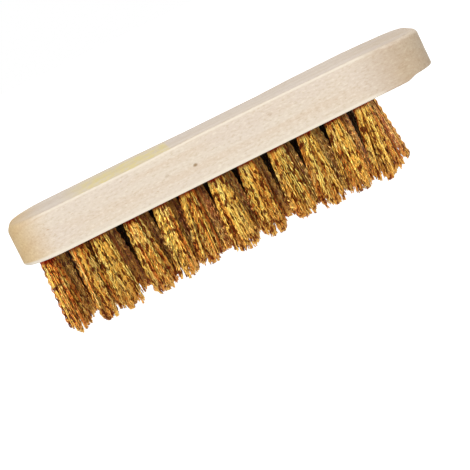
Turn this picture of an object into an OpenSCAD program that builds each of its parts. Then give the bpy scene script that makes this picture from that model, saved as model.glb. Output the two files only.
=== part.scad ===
// Hand wire brush: a wooden block with crimped brass wire tufts, each folded round a steel anchor
// and driven into its own blind hole. The brush stands on its wire tips, with its flat back up.
// +X runs along the block towards its bare end, +Y across it and +Z up.

/* [Block] */
// Length of the block
block_length = 150; // [148:1:200]
// Width of the block
block_width = 40; // [38:1:60]
// Thickness of the block, from its tufted face to its back
block_thickness = 15; // [13:0.5:22]
// Radius of the four corners, seen from the back
corner_radius = 15; // [6:0.5:16]
// Radius of the end edges of the back
back_end_radius = 2.5; // [1.5:0.25:5]
// Radius of the end edges of the tufted face
face_end_radius = 1; // [0.5:0.25:2]
// Radius of the long edges
long_edge_radius = 0.7; // [0.3:0.1:1.2]

/* [Bristle field] */
// Number of rows across the block
rows = 4; // [2:1:4]
// Number of tufts in a full row
columns = 12; // [6:1:12]
// Distance between neighbouring rows
row_spacing = 8.5; // [8.4:0.1:9]
// Distance between neighbouring tufts of one row
pitch = 10.4; // [10:0.1:10.8]
// Share of the drilling's unevenness: 0 drills the columns exactly a pitch apart
unevenness = 1; // [0:0.1:1]
// Number of rows after which the tufts line up again
rows_in_step = 3; // [2:1:3]
// Distance from the block's end to the middle of the first tuft
first_tuft_inset = 7.8; // [7.6:0.1:12]

/* [Tufts] */
// Length of wire that stands out of the block
trim_length = 27.5; // [16:0.5:40]
// Diameter of a tuft where it leaves the block
root_diameter = 5.2; // [4.4:0.1:5.4]
// Diameter of a tuft at its tips
tip_diameter = 8.2; // [6:0.1:8.2]
// Height of the bevel that uneven wires give the rim of the tips
tip_bevel = 1.2; // [0.4:0.1:2]
// Depth of the hole that a tuft fills
hole_depth = 10; // [8:0.5:11]

/* [Anchors] */
// Height of an anchor, along the hole
anchor_height = 2.2; // [1.5:0.1:3]
// Thickness of an anchor
anchor_thickness = 0.5; // [0.3:0.05:0.8]
// Length of each anchor end that bites into the wood
anchor_bite = 0.6; // [0.3:0.1:0.7]
// Thickness of the folded wire between an anchor and the end of its hole
fold_thickness = 1.6; // [1:0.1:2.5]

/* [Hidden] */
$fn = 96;
face_z = trim_length;
back_z = face_z + block_thickness;
hole_end_z = face_z + hole_depth;
anchor_top_z = hole_end_z - fold_thickness;
anchor_length = root_diameter + 2 * anchor_bite;
// Gap between two tufts that press against each other
tuft_gap = 0.2;
// Clearance by which cutting shapes pass the faces that they cut
overcut = 1;
// How far each column is drilled off its regular place, from the tufted end
column_drift = [0, 0, -3, -1.3, -1.2, -2, -2, -1.6, -1.1, -0.7, -0.7, -0.5];

// How far a row stands along the block from the first row
function row_shift(row) = ((row - 1) % rows_in_step) * pitch / rows_in_step;
// A row that is shifted by more than half a pitch has no room for its last tuft
function tufts_in(row) = row_shift(row) > pitch / 2 ? columns - 1 : columns;
function tuft_x(row, column) =
    first_tuft_inset - block_length / 2 + row_shift(row) + (column - 1) * pitch
    + unevenness * column_drift[column - 1];
function tuft_y(row) = (row - (rows + 1) / 2) * row_spacing;
// Half the free distance from a tuft to its neighbour in the row, on the side before or after it
function room(row, column, side) =
    let (neighbour = column + side)
    neighbour < 1 || neighbour > tufts_in(row)
        ? tip_diameter
        : (abs(tuft_x(row, neighbour) - tuft_x(row, column)) - tuft_gap) / 2;

function tuft_name(row, column) = str("tuft_row_", row, "_", column < 10 ? "0" : "", column);
function anchors_name(row) = str("anchors_row_", row);

// What rounding takes off a square corner that stands at the origin
module corner_waste(radius) {
    difference() {
        square(radius);
        translate([radius, radius]) circle(radius);
    }
}

// Rectangle that stands on the X axis, with one radius for its lower and one for its upper corners
module rounded_outline(length, height, lower_radius, upper_radius) {
    difference() {
        translate([-length / 2, 0]) square([length, height]);
        for (side = [0, 1]) mirror([side, 0]) translate([-length / 2, 0]) {
            corner_waste(lower_radius);
            translate([0, height]) mirror([0, 1]) corner_waste(upper_radius);
        }
    }
}

// The block before it is drilled: where its shapes from above, from the side and from the end meet
module blank() {
    intersection() {
        linear_extrude(block_thickness)
            translate([0, -block_width / 2])
            rounded_outline(block_length, block_width, corner_radius, corner_radius);
        rotate([90, 0, 0])
            linear_extrude(block_width + 2 * overcut, center = true)
            rounded_outline(block_length, block_thickness, face_end_radius, back_end_radius);
        rotate([90, 0, 90])
            linear_extrude(block_length + 2 * overcut, center = true)
            rounded_outline(block_width, block_thickness, long_edge_radius, long_edge_radius);
    }
}

// One flat strip of steel, edge on to the hole, in the row's direction
module anchor() {
    translate([-anchor_length / 2, -anchor_thickness / 2, anchor_top_z - anchor_height])
        cube([anchor_length, anchor_thickness, anchor_height]);
}

module block() {
    color("bisque") difference() {
        translate([0, 0, face_z]) blank();
        for (row = [1 : rows], column = [1 : tufts_in(row)])
            translate([tuft_x(row, column), tuft_y(row), 0]) {
                translate([0, 0, face_z - overcut])
                    cylinder(d = root_diameter, h = hole_depth + overcut);
                anchor();
            }
    }
}

// A plug in the hole that spreads towards the tips of its wires
module bundle() {
    rotate_extrude() polygon([
        [0, 0],
        [tip_diameter / 2 - tip_bevel, 0],
        [tip_diameter / 2, tip_bevel],
        [root_diameter / 2, face_z],
        [root_diameter / 2, hole_end_z],
        [0, hole_end_z]
    ]);
}

// The wires of one tuft as one body, which is flat where it presses against its neighbour
module tuft(row, column) {
    before = room(row, column, -1);
    after = room(row, column, 1);
    color("goldenrod") translate([tuft_x(row, column), tuft_y(row), 0]) difference() {
        intersection() {
            bundle();
            translate([-before, -tip_diameter, -overcut])
                cube([before + after, 2 * tip_diameter, hole_end_z + 2 * overcut]);
        }
        anchor();
    }
}

module anchors(row) {
    color("silver")
        for (column = [1 : tufts_in(row)])
            translate([tuft_x(row, column), tuft_y(row), 0]) anchor();
}

block();
for (row = [1 : rows])
    anchors(row);
for (row = [1 : rows], column = [1 : tufts_in(row)])
    tuft(row, column);
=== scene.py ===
"""Looks of a block wire brush: a beech block, and crimped brass wires in place of the plain tufts."""
import math

import bpy
import numpy as np
from mathutils import Euler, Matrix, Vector


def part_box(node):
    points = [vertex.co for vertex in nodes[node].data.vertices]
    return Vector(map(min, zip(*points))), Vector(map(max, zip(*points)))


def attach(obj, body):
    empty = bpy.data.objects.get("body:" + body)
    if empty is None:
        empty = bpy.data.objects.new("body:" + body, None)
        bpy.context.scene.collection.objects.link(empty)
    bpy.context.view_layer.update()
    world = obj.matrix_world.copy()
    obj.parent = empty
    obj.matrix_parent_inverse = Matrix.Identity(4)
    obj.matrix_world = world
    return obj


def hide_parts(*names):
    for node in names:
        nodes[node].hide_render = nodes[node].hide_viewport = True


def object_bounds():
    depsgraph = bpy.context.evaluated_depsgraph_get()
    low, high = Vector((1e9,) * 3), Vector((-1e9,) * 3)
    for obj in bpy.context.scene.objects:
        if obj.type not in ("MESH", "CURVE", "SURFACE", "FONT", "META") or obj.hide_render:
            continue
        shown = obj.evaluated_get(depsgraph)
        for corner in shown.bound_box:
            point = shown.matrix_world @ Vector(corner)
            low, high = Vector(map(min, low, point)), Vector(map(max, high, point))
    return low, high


MM = 0.001

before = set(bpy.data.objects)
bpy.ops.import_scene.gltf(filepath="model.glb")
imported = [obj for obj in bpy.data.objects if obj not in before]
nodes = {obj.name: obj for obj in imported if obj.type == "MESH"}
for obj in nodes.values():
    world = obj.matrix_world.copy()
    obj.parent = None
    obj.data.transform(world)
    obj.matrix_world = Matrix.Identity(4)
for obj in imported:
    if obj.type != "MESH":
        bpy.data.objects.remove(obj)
cad_low, cad_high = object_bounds()
TUFTS = sorted(name for name in nodes if name.startswith("tuft_"))
ANCHORS = sorted(name for name in nodes if name.startswith("anchors_"))
block_low, block_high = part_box("block")
FACE_Z, BACK_Z = block_low.z, block_high.z
HALF_LENGTH, HALF_WIDTH = block_high.x, block_high.y


def vertices_of(node):
    """The corners of a CAD node's mesh, as an array."""
    return np.array([v.co for v in nodes[node].data.vertices])


def plug_of(node):
    """The corners of a tuft's solid that lie inside its hole."""
    points = vertices_of(node)
    return points[points[:, 2] > FACE_Z + MM]


def tuft_centre(node):
    """The middle of a tuft's hole, at the height of the tips."""
    plug = plug_of(node)
    middle = (plug.min(0) + plug.max(0)) / 2
    return Vector((middle[0], middle[1], 0))


# ---------------------------------------------------------------- sizes that the CAD gives
HOLE_END_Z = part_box(TUFTS[0])[1].z
first_centre = tuft_centre(TUFTS[0])
ROOT_RADIUS = np.hypot(*(plug_of(TUFTS[0]) - np.array(first_centre))[:, :2].T).max()
anchor_low, anchor_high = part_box(ANCHORS[0])
ANCHOR_HALF = (anchor_high.y - anchor_low.y) / 2
ANCHOR_TOP, ANCHOR_BOTTOM = anchor_high.z, anchor_low.z
ANCHOR_LENGTH = 2 * (first_centre.x - anchor_low.x)


# ---------------------------------------------------------------- node helpers
class Shader:
    """A material's node tree, with short calls to build it."""

    def __init__(self, name):
        self.material = bpy.data.materials.new(name)
        self.material.use_nodes = True
        self.tree = self.material.node_tree
        self.bsdf = self.tree.nodes["Principled BSDF"]

    def node(self, kind, inputs=(), **settings):
        """Adds a node, with its properties in settings and its sockets' values or links in inputs."""
        made = self.tree.nodes.new("ShaderNode" + kind)
        for key, value in settings.items():
            setattr(made, key, value)
        for socket, value in dict(inputs).items():
            self.put(value, made.inputs[socket])
        return made

    def attribute(self, name):
        """A number that the mesh holds for each of its points."""
        return self.node("Attribute", attribute_name=name).outputs["Fac"]

    def put(self, value, socket):
        """Links an output to the socket, or sets its value."""
        if isinstance(value, bpy.types.NodeSocket):
            self.tree.links.new(value, socket)
        else:
            socket.default_value = value

    def set(self, **values):
        """Sets or links the shader's own sockets, with _ for the spaces in their names."""
        for name, value in values.items():
            self.put(value, self.bsdf.inputs[name.replace("_", " ")])

    def coords(self, scale=(1, 1, 1), shift=(0, 0, 0)):
        """Object coordinates, scaled so that one unit is one repeat."""
        place = self.node("TexCoord").outputs["Object"]
        return self.node("Mapping", {"Vector": place, "Scale": scale, "Location": shift}).outputs[0]

    def distance(self, point, weights):
        """Distance from a point, with a weight for each axis."""
        away = self.node("VectorMath", {0: self.coords(), 1: point}, operation="SUBTRACT").outputs[0]
        away = self.node("VectorMath", {0: away, 1: weights}, operation="MULTIPLY").outputs[0]
        return self.node("VectorMath", {0: away}, operation="LENGTH").outputs[1]

    def noise(self, vector, detail=2.0, roughness=0.5, distortion=0.0):
        values = {"Vector": vector, "Scale": 1.0, "Detail": detail, "Roughness": roughness,
                  "Distortion": distortion}
        return self.node("TexNoise", values).outputs["Fac"]

    def math(self, operation, a, b=0.0):
        return self.node("Math", {0: a, 1: b}, operation=operation).outputs[0]

    def product(self, first, *others):
        """The product of two or more values."""
        for other in others:
            first = self.math("MULTIPLY", first, other)
        return first

    def ramp(self, value, low, high, to_low=0.0, to_high=1.0):
        """Maps low..high to to_low..to_high, smoothly and clamped."""
        values = {"Value": value, "From Min": low, "From Max": high,
                  "To Min": to_low, "To Max": to_high}
        return self.node("MapRange", values, interpolation_type="SMOOTHSTEP").outputs[0]

    def mix(self, share, a, b, blend="MIX"):
        made = self.node("Mix", data_type="RGBA", blend_type=blend)
        for socket, value in ((0, share), (6, a), (7, b)):
            self.put(value, made.inputs[socket])
        return made.outputs[2]

    def separate(self, vector):
        return self.node("SeparateXYZ", {0: vector}).outputs

    def bump(self, height, distance, strength):
        """Turns a height into the shader's normal."""
        values = {"Height": height, "Distance": distance, "Strength": strength}
        self.set(Normal=self.node("Bump", values).outputs[0])


def linear(red, green, blue):
    """A colour given in sRGB bytes, as linear light."""
    return tuple((c / 12.92 if c <= 0.04045 else ((c + 0.055) / 1.055) ** 2.4)
                 for c in (red / 255, green / 255, blue / 255)) + (1.0,)


# ---------------------------------------------------------------- materials
# Places and strengths of the pin knots, on the long side at -Y
PIN_KNOTS = (((-10.8 * MM, -HALF_WIDTH, FACE_Z + 6.5 * MM), 0.85),
             ((-20.5 * MM, -HALF_WIDTH, FACE_Z + 7.4 * MM), 0.3),
             ((18 * MM, -HALF_WIDTH, FACE_Z + 10.5 * MM), 0.25))

# Centre of the tree that the block was sawn from, as seen from its end
PITH = (0, -34 * MM, FACE_Z - 38 * MM)

# Where each tint, painted shade and painted highlight of the wood comes in: it starts at the first
# place and is full at the second
TUFTED_END_TINT = -59 * MM, -75 * MM
BARE_END_SHADE = 44 * MM, 65 * MM
EDGE_HIGHLIGHT_PLACES = 57 * MM, 50 * MM
BACK_EDGE_HIGHLIGHT_PLACES = -70 * MM, -58 * MM
STAIN_START = -57 * MM, -41 * MM
STAIN_END = -15.2 * MM, -16.2 * MM
STAIN_FAR_SIDE = 26 * MM, 13 * MM


def beech():
    """Bare sanded beech: pale and nearly plain, with fine grain, a yellower tufted end, painted shade
    on the back and at the bare end, painted highlights along the edges, and three pin knots.
    """
    s = Shader("beech")
    x, y, z = s.separate(s.coords())
    # Faint growth rings make bands along the sides and arcs on the ends, and clouds cross them
    out = s.distance(PITH, (0, 1, 1))
    stretched = {0: s.math("MULTIPLY", x, 11.0), 1: s.math("MULTIPLY", out, 340.0)}
    bands = s.noise(s.node("CombineXYZ", stretched).outputs[0], detail=4, distortion=0.4)
    colour = s.mix(s.ramp(bands, 0.35, 0.7, 0, 0.8), linear(187, 175, 159), linear(182, 165, 146))
    clouds = s.noise(s.coords((45, 90, 90), (3, 1, 2)), detail=3)
    colour = s.mix(s.ramp(clouds, 0.42, 0.7, 0, 0.7), colour, linear(184, 171, 158))
    # Fine grain, and the short flecks that beech shows on a sawn face
    grain = s.noise(s.coords((600, 1500, 1500), (0, 5, 0)), detail=3, roughness=0.7)
    colour = s.mix(s.ramp(grain, 0.5, 0.7, 0, 0.6), colour, linear(166, 149, 126))
    colour = s.mix(s.ramp(grain, 0.48, 0.32, 0, 0.6), colour, linear(200, 191, 174))
    flecks = s.noise(s.coords((420, 2600, 2600), (7, 0, 0)), detail=1.5)
    colour = s.mix(s.ramp(flecks, 0.68, 0.78, 0, 0.6), colour, linear(156, 122, 93))
    # Painted shade: the back is a little darker, as faces that look up catch less of the light from
    # the front
    facing_up = s.separate(s.node("NewGeometry").outputs["Normal"])[2]
    on_back = s.ramp(facing_up, 0.75, 0.95)
    colour = s.mix(on_back, colour, (0.925, 0.918, 0.935, 1), "MULTIPLY")
    # Towards the tufted end the wood is yellower and a little darker
    colour = s.mix(s.ramp(x, *TUFTED_END_TINT), colour, linear(249, 230, 187), "MULTIPLY")
    # Painted shade towards the bare end, where the corner and the end turn from the light: full on the
    # walls, half on faces that look up
    bare_end_shade = s.product(s.ramp(x, *BARE_END_SHADE), s.ramp(facing_up, 0.5, 0.1, 0.5, 1))
    colour = s.mix(bare_end_shade, colour, linear(227, 218, 204), "MULTIPLY")
    # Painted highlights: pale lines along the rounded edges of the tufted face and of the back, where
    # they catch the light
    straight = s.ramp(x, *EDGE_HIGHLIGHT_PLACES)
    lower = s.product(s.ramp(z, FACE_Z + 1.5 * MM, FACE_Z + 0.7 * MM), straight)
    upper = s.product(s.ramp(x, *BACK_EDGE_HIGHLIGHT_PLACES, 0, 0.7), straight,
                      s.ramp(facing_up, 0.02, 0.2), s.ramp(facing_up, 0.85, 0.6))
    colour = s.mix(s.math("ADD", lower, upper), colour, linear(196, 187, 171))
    # A yellowish, mottled stain on the back, with a ragged far side
    mottle = s.noise(s.coords((330, 190, 190), (0, 0, 9)), detail=3, roughness=0.6)
    ragged = s.math("ADD", y, s.math("MULTIPLY", mottle, 12 * MM))
    stained = s.product(s.ramp(x, *STAIN_START), s.ramp(x, *STAIN_END), on_back,
                        s.ramp(ragged, *STAIN_FAR_SIDE), s.ramp(mottle, 0.36, 0.64, 0.32, 1))
    colour = s.mix(stained, colour, linear(187, 171, 113))
    for knot, strength in PIN_KNOTS:
        away = s.distance(knot, (0.7, 1, 1))
        colour = s.mix(s.ramp(away, 0.75 * MM, 0.2 * MM, 0, strength), colour, linear(124, 98, 64))
    s.set(Base_Color=colour, Roughness=s.ramp(bands, 0.3, 0.7, 0.6, 0.72), Specular_IOR_Level=0.3)
    sanding = s.noise(s.coords((60, 3800, 3800)), detail=3)
    height = s.math("ADD", s.math("MULTIPLY", sanding, 0.6), s.math("MULTIPLY", grain, 0.8))
    s.bump(height, 0.08 * MM, 0.5)
    return s.material


def brass():
    """Drawn brass wire: each wire has its own tone, with dark specks of tarnish and painted shade, and
    painted shade between the rows and next to the block.
    """
    s = Shader("brass_wire")
    y, z = s.separate(s.coords())[1:]
    tone = s.attribute("tone")
    colour = s.mix(s.ramp(tone, 0.1, 0.5), linear(253, 232, 128), linear(246, 196, 88))
    colour = s.mix(s.ramp(tone, 0.5, 0.85, 0, 0.9), colour, linear(206, 106, 44))
    # Blotches of bright and of dull metal run over neighbouring wires
    bright = s.noise(s.coords((420, 420, 130), (2, 0, 0)), detail=3)
    colour = s.mix(s.ramp(bright, 0.52, 0.66, 0, 0.7), colour, linear(253, 230, 136))
    # Use dulls the tips
    colour = s.mix(s.ramp(z, 12 * MM, 2 * MM, 0, 0.5), colour, linear(207, 141, 70))
    # Dark specks: partly tarnish, partly painted shade for the hollows between crimps
    tarnish_and_crimp_shade = s.noise(s.coords((1000, 450, 360)), detail=2.5, roughness=0.6)
    colour = s.mix(s.ramp(tarnish_and_crimp_shade, 0.515, 0.585, 0, 0.93), colour, linear(104, 27, 10))
    # Painted shade: the inner rows, shaded by the outer ones, are tinted browner, most of all above
    # their tips. Painted shade also darkens the middle rows near the block
    inward = s.math("ABSOLUTE", y)
    inner_row_shade = s.ramp(z, 2 * MM, 14 * MM, 0.1, 0.4)
    colour = s.mix(s.ramp(inward, 10 * MM, 7.5 * MM, 0, inner_row_shade), colour, linear(232, 156, 110))
    # Painted shade, as dark as the gaps between the rows, along the middle near the block
    deep = s.ramp(z, FACE_Z - 20 * MM, FACE_Z - 8 * MM, 0, 0.9)
    middle_shade = s.product(s.ramp(inward, 4 * MM, 2.4 * MM), deep)
    colour = s.mix(middle_shade, colour, linear(60, 54, 46))
    # Painted shade: next to the block, where the wires meet it, the brass is dark and reddish
    root = s.ramp(z, FACE_Z - 2.2 * MM, FACE_Z - 0.5 * MM, 0, 0.92)
    colour = s.mix(root, colour, linear(162, 37, 18))
    s.set(Base_Color=colour, Metallic=1.0, Roughness=0.35)
    return s.material


def galvanised():
    """Galvanised steel strip with a faint spangle."""
    s = Shader("anchor_steel")
    spangle = s.noise(s.coords((900, 900, 900)), detail=2)
    colour = s.mix(s.ramp(spangle, 0.35, 0.7), linear(186, 190, 194), linear(150, 154, 158))
    s.set(Base_Color=colour, Metallic=1.0, Roughness=s.ramp(spangle, 0.3, 0.7, 0.38, 0.52))
    return s.material


# ---------------------------------------------------------------- mesh helpers
def mesh_object(name, points, faces, material):
    """An object in the scene, from points and faces."""
    mesh = bpy.data.meshes.new(name)
    mesh.from_pydata([tuple(p) for p in points], [], faces)
    mesh.materials.append(material)
    made = bpy.data.objects.new(name, mesh)
    bpy.context.scene.collection.objects.link(made)
    return made


def smoothstep(value, low, high):
    """A smooth step from 0 at low to 1 at high."""
    t = np.clip((np.asarray(value, float) - low) / (high - low), 0, 1)
    return t * t * (3 - 2 * t)


# ---------------------------------------------------------------- the block
CORNER_RADIUS = 15 * MM     # as in the CAD
ARC_STEPS = 20          # around one corner of the plan
SIDE_STEPS = 60         # along one long side
END_STEPS = 4           # half way across one flat end
ROUND_STEPS = 7         # round one edge
WALL_STEPS = 5          # up the wall between two edges
# Radii of the edges of the back and of the tufted face, along the sides and at the two ends
EDGE_BACK, TUFTED_END_BACK, BARE_END_BACK = 0.9 * MM, 3.0 * MM, 2.0 * MM
EDGE_FACE, TUFTED_END_FACE, BARE_END_FACE = 0.35 * MM, 1.2 * MM, 0.5 * MM
# Step by which the tufted face rises at the bare end, where no tufts stand
RISE = 0.9 * MM
RISE_START = HALF_LENGTH - 12.2 * MM
RISE_LENGTH = 4.5 * MM
# How far the hand-sanded back lies below its highest place, in mm: places along the block, and the
# depths there at the edge at -Y and at the edge at +Y
SAG_PLACES = -60, -28, -8, 20, 32, 52, 64, 75
SAG_NEAR = 0.35, 0.4, 0, 0.1, 0.2, 0.45, 0.8, 1.1
SAG_FAR = 0.25, 0.25, 0.55, 0.55, 0.25, 0.15, 0.4, 0.4


def half_outline():
    """The plan's points and outward normals with y above 0, from the bare end to the tufted end."""
    turn = np.linspace(0, math.pi / 2, ARC_STEPS + 1)
    centre_x, centre_y = HALF_LENGTH - CORNER_RADIUS, HALF_WIDTH - CORNER_RADIUS
    flat = np.linspace(0, centre_y, END_STEPS, endpoint=False)
    end = np.column_stack([np.full_like(flat, HALF_LENGTH), flat])
    outward = np.column_stack([np.cos(turn), np.sin(turn)])
    arc = np.array([centre_x, centre_y]) + CORNER_RADIUS * outward
    along = np.linspace(centre_x, 0, SIDE_STEPS // 2 + 1)[1:]
    side = np.column_stack([along, np.full_like(along, HALF_WIDTH)])
    quarter = np.vstack([end, arc, side])
    normals = np.vstack([np.tile([1.0, 0.0], (len(end), 1)), outward,
                         np.tile([0.0, 1.0], (len(side), 1))])
    mirror = np.array([-1.0, 1.0])
    return (np.vstack([quarter, quarter[-2::-1] * mirror]),
            np.vstack([normals, normals[-2::-1] * mirror]))


def block_rings():
    """Rings of points from the edge of the back, down the wall, to the edge of the tufted face.

    Also returns the number of points in half a ring.
    """
    half, half_normals = half_outline()
    flip = np.array([1.0, -1.0])
    plan = np.vstack([half, half[-2:0:-1] * flip])
    normal = np.vstack([half_normals, half_normals[-2:0:-1] * flip])
    x = plan[:, 0]
    endward = smoothstep(np.abs(normal[:, 0]), 0.2, 1.0)
    worn = smoothstep(x, HALF_LENGTH - 26 * MM, HALF_LENGTH - 8 * MM)
    back_end = np.where(x > 0, BARE_END_BACK, TUFTED_END_BACK)
    back = EDGE_BACK + (back_end - EDGE_BACK) * np.maximum(endward, 0.8 * worn)
    face = EDGE_FACE + (np.where(x > 0, BARE_END_FACE, TUFTED_END_FACE) - EDGE_FACE) * endward
    near, far = (np.interp(x / MM, SAG_PLACES, depths) * MM for depths in (SAG_NEAR, SAG_FAR))
    sag = near + (far - near) * smoothstep(plan[:, 1], -HALF_WIDTH, HALF_WIDTH)
    top = BACK_Z - sag
    bottom = FACE_Z + RISE * smoothstep(x, RISE_START, RISE_START + RISE_LENGTH)
    rings = []
    for turn in np.linspace(0, math.pi / 2, ROUND_STEPS + 1):
        inset, height = back * (1 - math.sin(turn)), top - back * (1 - math.cos(turn))
        rings.append(np.column_stack([plan - normal * inset[:, None], height]))
    upper, lower = top - back, bottom + face
    for share in np.linspace(0, 1, WALL_STEPS + 1)[1:-1]:
        rings.append(np.column_stack([plan, upper + (lower - upper) * share]))
    for turn in np.linspace(math.pi / 2, 0, ROUND_STEPS + 1):
        inset, height = face * (1 - math.sin(turn)), bottom + face * (1 - math.cos(turn))
        rings.append(np.column_stack([plan - normal * inset[:, None], height]))
    return rings, len(half)


def block_blank(material):
    """The block before it is drilled."""
    rings, half = block_rings()
    around = len(rings[0])
    faces = []
    for r in range(len(rings) - 1):
        for i in range(around):
            j = (i + 1) % around
            faces.append((r * around + i, (r + 1) * around + i, (r + 1) * around + j, r * around + j))
    last = (len(rings) - 1) * around
    for i in range(half - 1):  # strips across the back and the tufted face
        a, b = i, i + 1
        c, d = (around - b) % around, (around - a) % around
        strip = tuple(dict.fromkeys((a, b, c, d)))
        faces.append(strip)
        faces.append(tuple(last + v for v in reversed(strip)))
    return mesh_object("beech_block", np.vstack(rings), faces, material)


def hole_cutter():
    """Blind holes with broken rims, one for each tuft."""
    sides, rim = 40, 0.2 * MM
    profile = [(ROOT_RADIUS + rim + MM, FACE_Z - MM), (ROOT_RADIUS + rim, FACE_Z),
               (ROOT_RADIUS, FACE_Z + rim), (ROOT_RADIUS, HOLE_END_Z)]
    turn = np.arange(sides) * 2 * math.pi / sides
    points, faces = [], []
    for node in TUFTS:
        centre, start = tuft_centre(node), len(points)
        for radius, z in profile:
            points += [(centre.x + radius * math.cos(t), centre.y + radius * math.sin(t), z)
                       for t in turn]
        for r in range(len(profile) - 1):
            for i in range(sides):
                j, base = (i + 1) % sides, start + r * sides
                faces.append((base + i, base + j, base + sides + j, base + sides + i))
        faces.append(tuple(start + i for i in reversed(range(sides))))
        faces.append(tuple(start + (len(profile) - 1) * sides + i for i in range(sides)))
    return mesh_object("holes", points, faces, None)


def slot_cutter():
    """The slots that the anchors' ends press into the wood."""
    points, faces = [], []
    for node in TUFTS:
        centre, start = tuft_centre(node), len(points)
        for x in (-ANCHOR_LENGTH / 2, ANCHOR_LENGTH / 2):
            for y in (-ANCHOR_HALF, ANCHOR_HALF):
                for z in (ANCHOR_BOTTOM, ANCHOR_TOP):
                    points.append((centre.x + x, centre.y + y, z))
        for quad in ((0, 1, 3, 2), (4, 6, 7, 5), (0, 4, 5, 1),
                     (2, 3, 7, 6), (0, 2, 6, 4), (1, 5, 7, 3)):
            faces.append(tuple(start + i for i in quad))
    return mesh_object("slots", points, faces, None)


def apply_modifiers(obj):
    """Turns what the modifiers show into the object's own mesh."""
    shown = obj.evaluated_get(bpy.context.evaluated_depsgraph_get())
    mesh = bpy.data.meshes.new_from_object(shown)
    obj.modifiers.clear()
    old, obj.data = obj.data, mesh
    bpy.data.meshes.remove(old)


def make_block(material):
    """The block with its holes and slots, in place of the plain CAD block."""
    block = block_blank(material)
    for cutter in (hole_cutter(), slot_cutter()):
        cut = block.modifiers.new("cut", "BOOLEAN")
        cut.operation, cut.solver, cut.object = "DIFFERENCE", "EXACT", cutter
        apply_modifiers(block)
        bpy.data.objects.remove(cutter)
    block.data.shade_smooth()
    block.data.set_sharp_from_angle(angle=math.radians(32))
    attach(block, "root")
    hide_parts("block")


# ---------------------------------------------------------------- the tufts
WIRE_RADIUS = 0.19 * MM
WIRE_SIDES = 4
FIRST_SEED = 100        # of the first tuft's random values
WIRES = 56              # each is folded in two, so a tuft shows twice as many ends
STRANDS = 7             # bundles on each side of an anchor, whose wires nest in each other's crimps
SPREAD_RADIUS = 5 * MM  # of the tips of an average tuft, which mingle with its neighbours'
FLARE = 0.85, 1.15      # least and most share of that spread
LEAN = 0.7 * MM         # typical lean of a tuft along and across the block
DOME = 2.2 * MM, 4.6 * MM   # least and most by which a tuft's outer wires end short of its middle ones
POINT = 1.7, 3.8        # least and most power of the dome's curve, from a pointed to a blunt tuft
RAGGED = 1.3 * MM       # by which a strand may end short of the others
GATHER = 0.47           # share by which a strand's wires draw together at their tips
STRAND_SHIFT = 0.25 * MM    # typical shift of a strand off its regular place
STRAND_DRIFT = 0.55 * MM    # typical drift of a strand's tips
WIRE_DRIFT = 0.16 * MM      # typical drift of a wire's tip within its strand
INNER_ROWS = 2, 3
INNER_WEAR = 1.5 * MM   # by which use has shortened them
# How far each tuft of the row at -Y leans towards the bare end, in mm, from the tufted end
NEAR_ROW_LEAN = (0.6, 0.8, 0.4, 1.5, -0.5, -1.2, 0.8, 0.1, 0.8, 0.2, -0.5, -0.8)
END_LEAN = 1.4 * MM     # of the other rows' last tufts, towards the bare end
ROWS = {node[:-2] for node in TUFTS}
ROW_ENDS = [max(node for node in TUFTS if node.startswith(row)) for row in ROWS]
LEG_STEPS = 42          # down the free length of a wire
ROOT_STEPS = 3          # from the block's face to the fold
FOLD_STEPS = 5
CRIMP_LENGTH = 2.5 * MM
CRIMP_HEIGHT = 0.2 * MM


def half_disc(count):
    """Places on one side of an anchor: a sunflower pattern, of which one half is kept."""
    k = np.arange(2 * count + 8)
    radius = (ROOT_RADIUS - WIRE_RADIUS) * np.sqrt((k + 0.5) / (2 * count))
    turn = k * math.pi * (3 - math.sqrt(5))
    places = np.column_stack([radius * np.cos(turn), radius * np.sin(turn)])
    places = places[places[:, 1] > 0][:count]
    places[:, 1] = np.maximum(places[:, 1], ANCHOR_HALF + WIRE_RADIUS)
    return places


def leg(places, rng, tuft):
    """Centre lines of the legs on one side of the anchor, from tip to block, and each leg's tone.

    The lines are an array of wires, steps and coordinates. Each wire belongs to the strand that
    leaves the block nearest to it, and shares most of that strand's chance values.
    """
    count = len(places)
    side = np.sign(places[0, 1])
    strands = half_disc(STRANDS) * np.array([1, side]) + rng.normal(0, STRAND_SHIFT, (STRANDS, 2))
    home = np.linalg.norm(places[:, None] - strands[None], axis=2).argmin(1)
    down = np.linspace(1, 0, LEG_STEPS)[None, :]  # 1 at the tip, 0 at the block
    share = np.hypot(places[:, 0], places[:, 1]) / ROOT_RADIUS
    tip_z = (tuft["tip"] + tuft["dome"] * share ** tuft["point"]
             + rng.uniform(-0.3 * MM, RAGGED, STRANDS)[home]
             + np.abs(rng.normal(0, 0.2 * MM, count)))
    tip_z = np.maximum(tip_z, WIRE_RADIUS)
    z = FACE_Z - down * (FACE_Z - tip_z[:, None])
    widen = (down ** 0.75)[:, :, None]
    spread = 1 + (SPREAD_RADIUS / ROOT_RADIUS - 1) * tuft["flare"] * widen
    gather = 1 - GATHER * (down ** 0.8)[:, :, None]
    xy = strands[home][:, None] * spread + (places - strands[home])[:, None] * spread * gather
    drift = rng.normal(0, STRAND_DRIFT, (STRANDS, 2))[home] + rng.normal(0, WIRE_DRIFT, (count, 2))
    lean = (drift + np.array(tuft["lean"]))[:, None] * down[:, :, None]
    turn = rng.uniform(0, 2 * math.pi, STRANDS)[home] + rng.normal(0, 0.5, count)
    phase = (rng.uniform(0, 2 * math.pi, STRANDS)[home] + rng.normal(0, 1.4, count))[:, None]
    length = CRIMP_LENGTH * rng.uniform(0.85, 1.15, STRANDS)[home][:, None]
    height = CRIMP_HEIGHT * rng.uniform(0.7, 1.3, (count, 1))
    wave = np.sin(2 * math.pi * z / length + phase) * smoothstep(down, 0.02, 0.14) * height
    crimp = wave[:, :, None] * np.stack([np.cos(turn), np.sin(turn)], -1)[:, None]
    tone = 0.4 * rng.uniform(0, 1, STRANDS)[home] + 0.6 * rng.uniform(0, 1, count)
    return np.concatenate([xy + lean + crimp, z[:, :, None]], -1), tone


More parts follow.
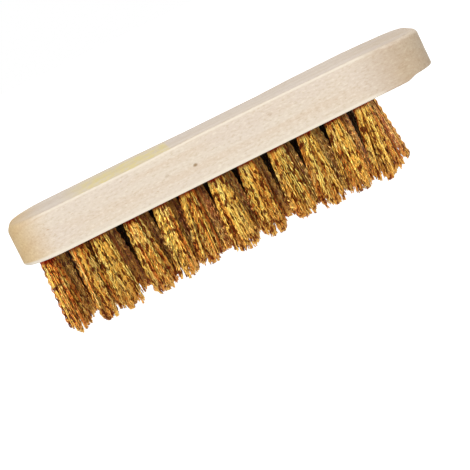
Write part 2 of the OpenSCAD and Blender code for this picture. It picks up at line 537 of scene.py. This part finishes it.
def wire_paths(rng, tuft):
    """Each wire runs from one tip up its leg, over the anchor, and down to its other tip.

    Returns the centre lines, and the tone of the metal at each of their points.
    """
    inner = ANCHOR_HALF + WIRE_RADIUS
    places = half_disc(WIRES) + rng.normal(0, 0.05 * MM, (WIRES, 2))
    mirrored = places * np.array([1, -1]) + rng.normal(0, 0.04 * MM, places.shape)
    places[:, 1] = np.maximum(places[:, 1], inner)
    mirrored[:, 1] = np.minimum(mirrored[:, 1], -inner)
    first, first_tone = leg(places, rng, tuft)
    second, second_tone = leg(mirrored, rng, tuft)
    spring = ANCHOR_TOP - 0.2 * MM  # where the fold starts
    room = HOLE_END_Z - spring - 2 * WIRE_RADIUS
    rise = room * np.abs(places[:, 1]) / ROOT_RADIUS + 1.5 * WIRE_RADIUS

    def root(side):
        """The straight length of each wire from the block's face to its fold."""
        z = np.linspace(FACE_Z, spring, ROOT_STEPS + 1)[1:]
        return np.concatenate([np.repeat(side[:, None, :], ROOT_STEPS, 1),
                               np.broadcast_to(z[None, :, None], (len(side), ROOT_STEPS, 1))], -1)

    turn = np.linspace(0, math.pi, FOLD_STEPS + 2)[1:-1]
    across = ((1 + np.cos(turn)) / 2)[None, :, None]
    fold_xy = places[:, None, :] * across + mirrored[:, None, :] * (1 - across)
    fold_z = spring + rise[:, None] * np.sin(turn)[None, :]
    fold = np.concatenate([fold_xy, fold_z[:, :, None]], -1)
    paths = np.concatenate([first, root(places), fold, root(mirrored)[:, ::-1], second[:, ::-1]], 1)
    half = paths.shape[1] // 2
    tones = np.column_stack([np.repeat(first_tone[:, None], paths.shape[1] - half, 1),
                             np.repeat(second_tone[:, None], half, 1)])
    return paths, np.clip(tones, 0, 1)


def tubes(paths):
    """Square tubes round the paths, closed at their ends: points and quads."""
    count, steps = paths.shape[:2]
    along = np.gradient(paths, axis=1)
    along /= np.linalg.norm(along, axis=2, keepdims=True)
    side = np.cross(along, np.array([1.0, 0.0, 0.0]))
    side /= np.linalg.norm(side, axis=2, keepdims=True)
    other = np.cross(along, side)
    turn = np.arange(WIRE_SIDES) * 2 * math.pi / WIRE_SIDES
    ring = (side[:, :, None, :] * np.cos(turn)[None, None, :, None]
            + other[:, :, None, :] * np.sin(turn)[None, None, :, None])
    points = (paths[:, :, None, :] + WIRE_RADIUS * ring).reshape(-1, 3)
    index = np.arange(count * steps * WIRE_SIDES).reshape(count, steps, WIRE_SIDES)
    after = np.roll(index, -1, axis=2)
    walls = np.stack([index[:, :-1], after[:, :-1], after[:, 1:], index[:, 1:]], -1).reshape(-1, 4)
    caps = np.concatenate([index[:, 0, ::-1], index[:, -1]])
    return points, np.concatenate([walls, caps])


def quad_mesh(name, points, quads, material):
    """A mesh of quads from arrays, smooth shaded."""
    mesh = bpy.data.meshes.new(name)
    mesh.vertices.add(len(points))
    mesh.vertices.foreach_set("co", points.astype(np.float32).ravel())
    mesh.loops.add(quads.size)
    mesh.loops.foreach_set("vertex_index", quads.astype(np.int32).ravel())
    mesh.polygons.add(len(quads))
    mesh.polygons.foreach_set("loop_start", np.arange(0, quads.size, 4, dtype=np.int32))
    mesh.polygons.foreach_set("use_smooth", np.ones(len(quads), bool))
    mesh.materials.append(material)
    mesh.update(calc_edges=True)
    return mesh


def make_tuft(node, seed, material):
    """The crimped wires of one tuft, in place of the plain CAD tuft."""
    rng = np.random.default_rng(seed)
    tuft = {"tip": rng.uniform(0, 0.3) * MM, "dome": rng.uniform(*DOME), "point": rng.uniform(*POINT),
            "flare": rng.uniform(*FLARE), "lean": rng.normal(0, LEAN, 2)}
    row, column = (int(part) for part in node.split("_")[-2:])
    if row in INNER_ROWS:
        tuft["tip"] += INNER_WEAR
    if row == 1:
        tuft["lean"][0] = NEAR_ROW_LEAN[column - 1] * MM
    elif node in ROW_ENDS:
        tuft["lean"][0] = END_LEAN
    paths, tones = wire_paths(rng, tuft)
    points, quads = tubes(paths)
    centre = tuft_centre(node)
    points[:, 2] = np.maximum(points[:, 2], 0.0)  # on the plane that the tips stand on, or above it
    points += np.array([centre.x, centre.y, 0])
    name = node.replace("tuft", "wires")
    mesh = quad_mesh(name, points, quads, material)
    tone = mesh.attributes.new("tone", "FLOAT", "POINT")
    tone.data.foreach_set("value", np.repeat(tones.ravel(), WIRE_SIDES))
    piece = bpy.data.objects.new(name, mesh)
    bpy.context.scene.collection.objects.link(piece)
    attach(piece, "root")
    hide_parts(node)


# ---------------------------------------------------------------- stage, lights and camera
def make_floor(reach):
    """A plain white floor that glows enough to show no shadow."""
    s = Shader("floor")
    s.set(Base_Color=(0.15, 0.15, 0.15, 1), Roughness=0.9, Specular_IOR_Level=0.0,
          Emission_Color=(1, 1, 1, 1), Emission_Strength=1.1)
    corners = [(-reach, -reach, 0), (reach, -reach, 0), (reach, reach, 0), (-reach, reach, 0)]
    floor = mesh_object("floor", corners, [(0, 1, 2, 3)], s.material)


def make_world(strength):
    """A studio that is dimmer than the white that shows behind the object."""
    world = bpy.data.worlds.new("studio")
    bpy.context.scene.world = world
    world.use_nodes = True
    tree = world.node_tree
    background = tree.nodes["Background"].inputs
    background["Color"].default_value = (1, 1, 1, 1)
    backdrop = tree.nodes.new("ShaderNodeMapRange")
    backdrop.inputs["To Min"].default_value = strength
    path = tree.nodes.new("ShaderNodeLightPath")
    tree.links.new(path.outputs["Is Camera Ray"], backdrop.inputs["Value"])
    tree.links.new(backdrop.outputs[0], background["Strength"])


def direction(azimuth, elevation):
    """From the object to a light or camera that faces +Y at azimuth 0. Angles are in degrees."""
    a, e = math.radians(azimuth), math.radians(elevation)
    return Vector((math.sin(a) * math.cos(e), -math.cos(a) * math.cos(e), math.sin(e)))


def sun(name, azimuth, elevation, softness, strength):
    """A broad light from far away, as wide as softness, in degrees."""
    light = bpy.data.lights.new(name, "SUN")
    light.angle, light.energy = math.radians(softness), strength
    lamp = bpy.data.objects.new(name, light)
    lamp.rotation_mode = "QUATERNION"
    lamp.rotation_quaternion = direction(azimuth, elevation).to_track_quat("Z", "Y")
    bpy.context.scene.collection.objects.link(lamp)


def make_camera(middle, offset, distance, azimuth, elevation, roll, lens):
    """Aims beside the middle of the object by an offset to the right and up in the picture.

    Roll turns the picture of the object anticlockwise.
    """
    back = direction(azimuth, elevation)
    data = bpy.data.cameras.new("camera")
    data.lens, data.sensor_width = lens, 36.0
    camera = bpy.data.objects.new("camera", data)
    turn = (-back).to_track_quat("-Z", "Y") @ Euler((0, 0, -math.radians(roll))).to_quaternion()
    camera.location = middle + back * distance + turn @ Vector((*offset, 0))
    camera.rotation_mode = "QUATERNION"
    camera.rotation_quaternion = turn
    bpy.context.scene.collection.objects.link(camera)
    bpy.context.scene.camera = camera


WOOD, WIRE, STEEL = beech(), brass(), galvanised()
make_block(WOOD)
for number, tuft_node in enumerate(TUFTS):
    make_tuft(tuft_node, FIRST_SEED + number, WIRE)
for anchor_node in ANCHORS:
    nodes[anchor_node].data.materials.clear()
    nodes[anchor_node].data.materials.append(STEEL)

bpy.context.scene.view_settings.view_transform = "Standard"
make_floor(reach=4)
make_world(strength=0.4)
sun("key", azimuth=-14, elevation=24, softness=25, strength=2.1)
sun("top", azimuth=20, elevation=72, softness=60, strength=2.1)
sun("rear", azimuth=155, elevation=32, softness=60, strength=0.9)
make_camera((cad_low + cad_high) / 2, offset=(-0.4 * MM, -18.2 * MM), distance=0.6,
            azimuth=-2.5, elevation=8.4, roll=26.06, lens=137.8)
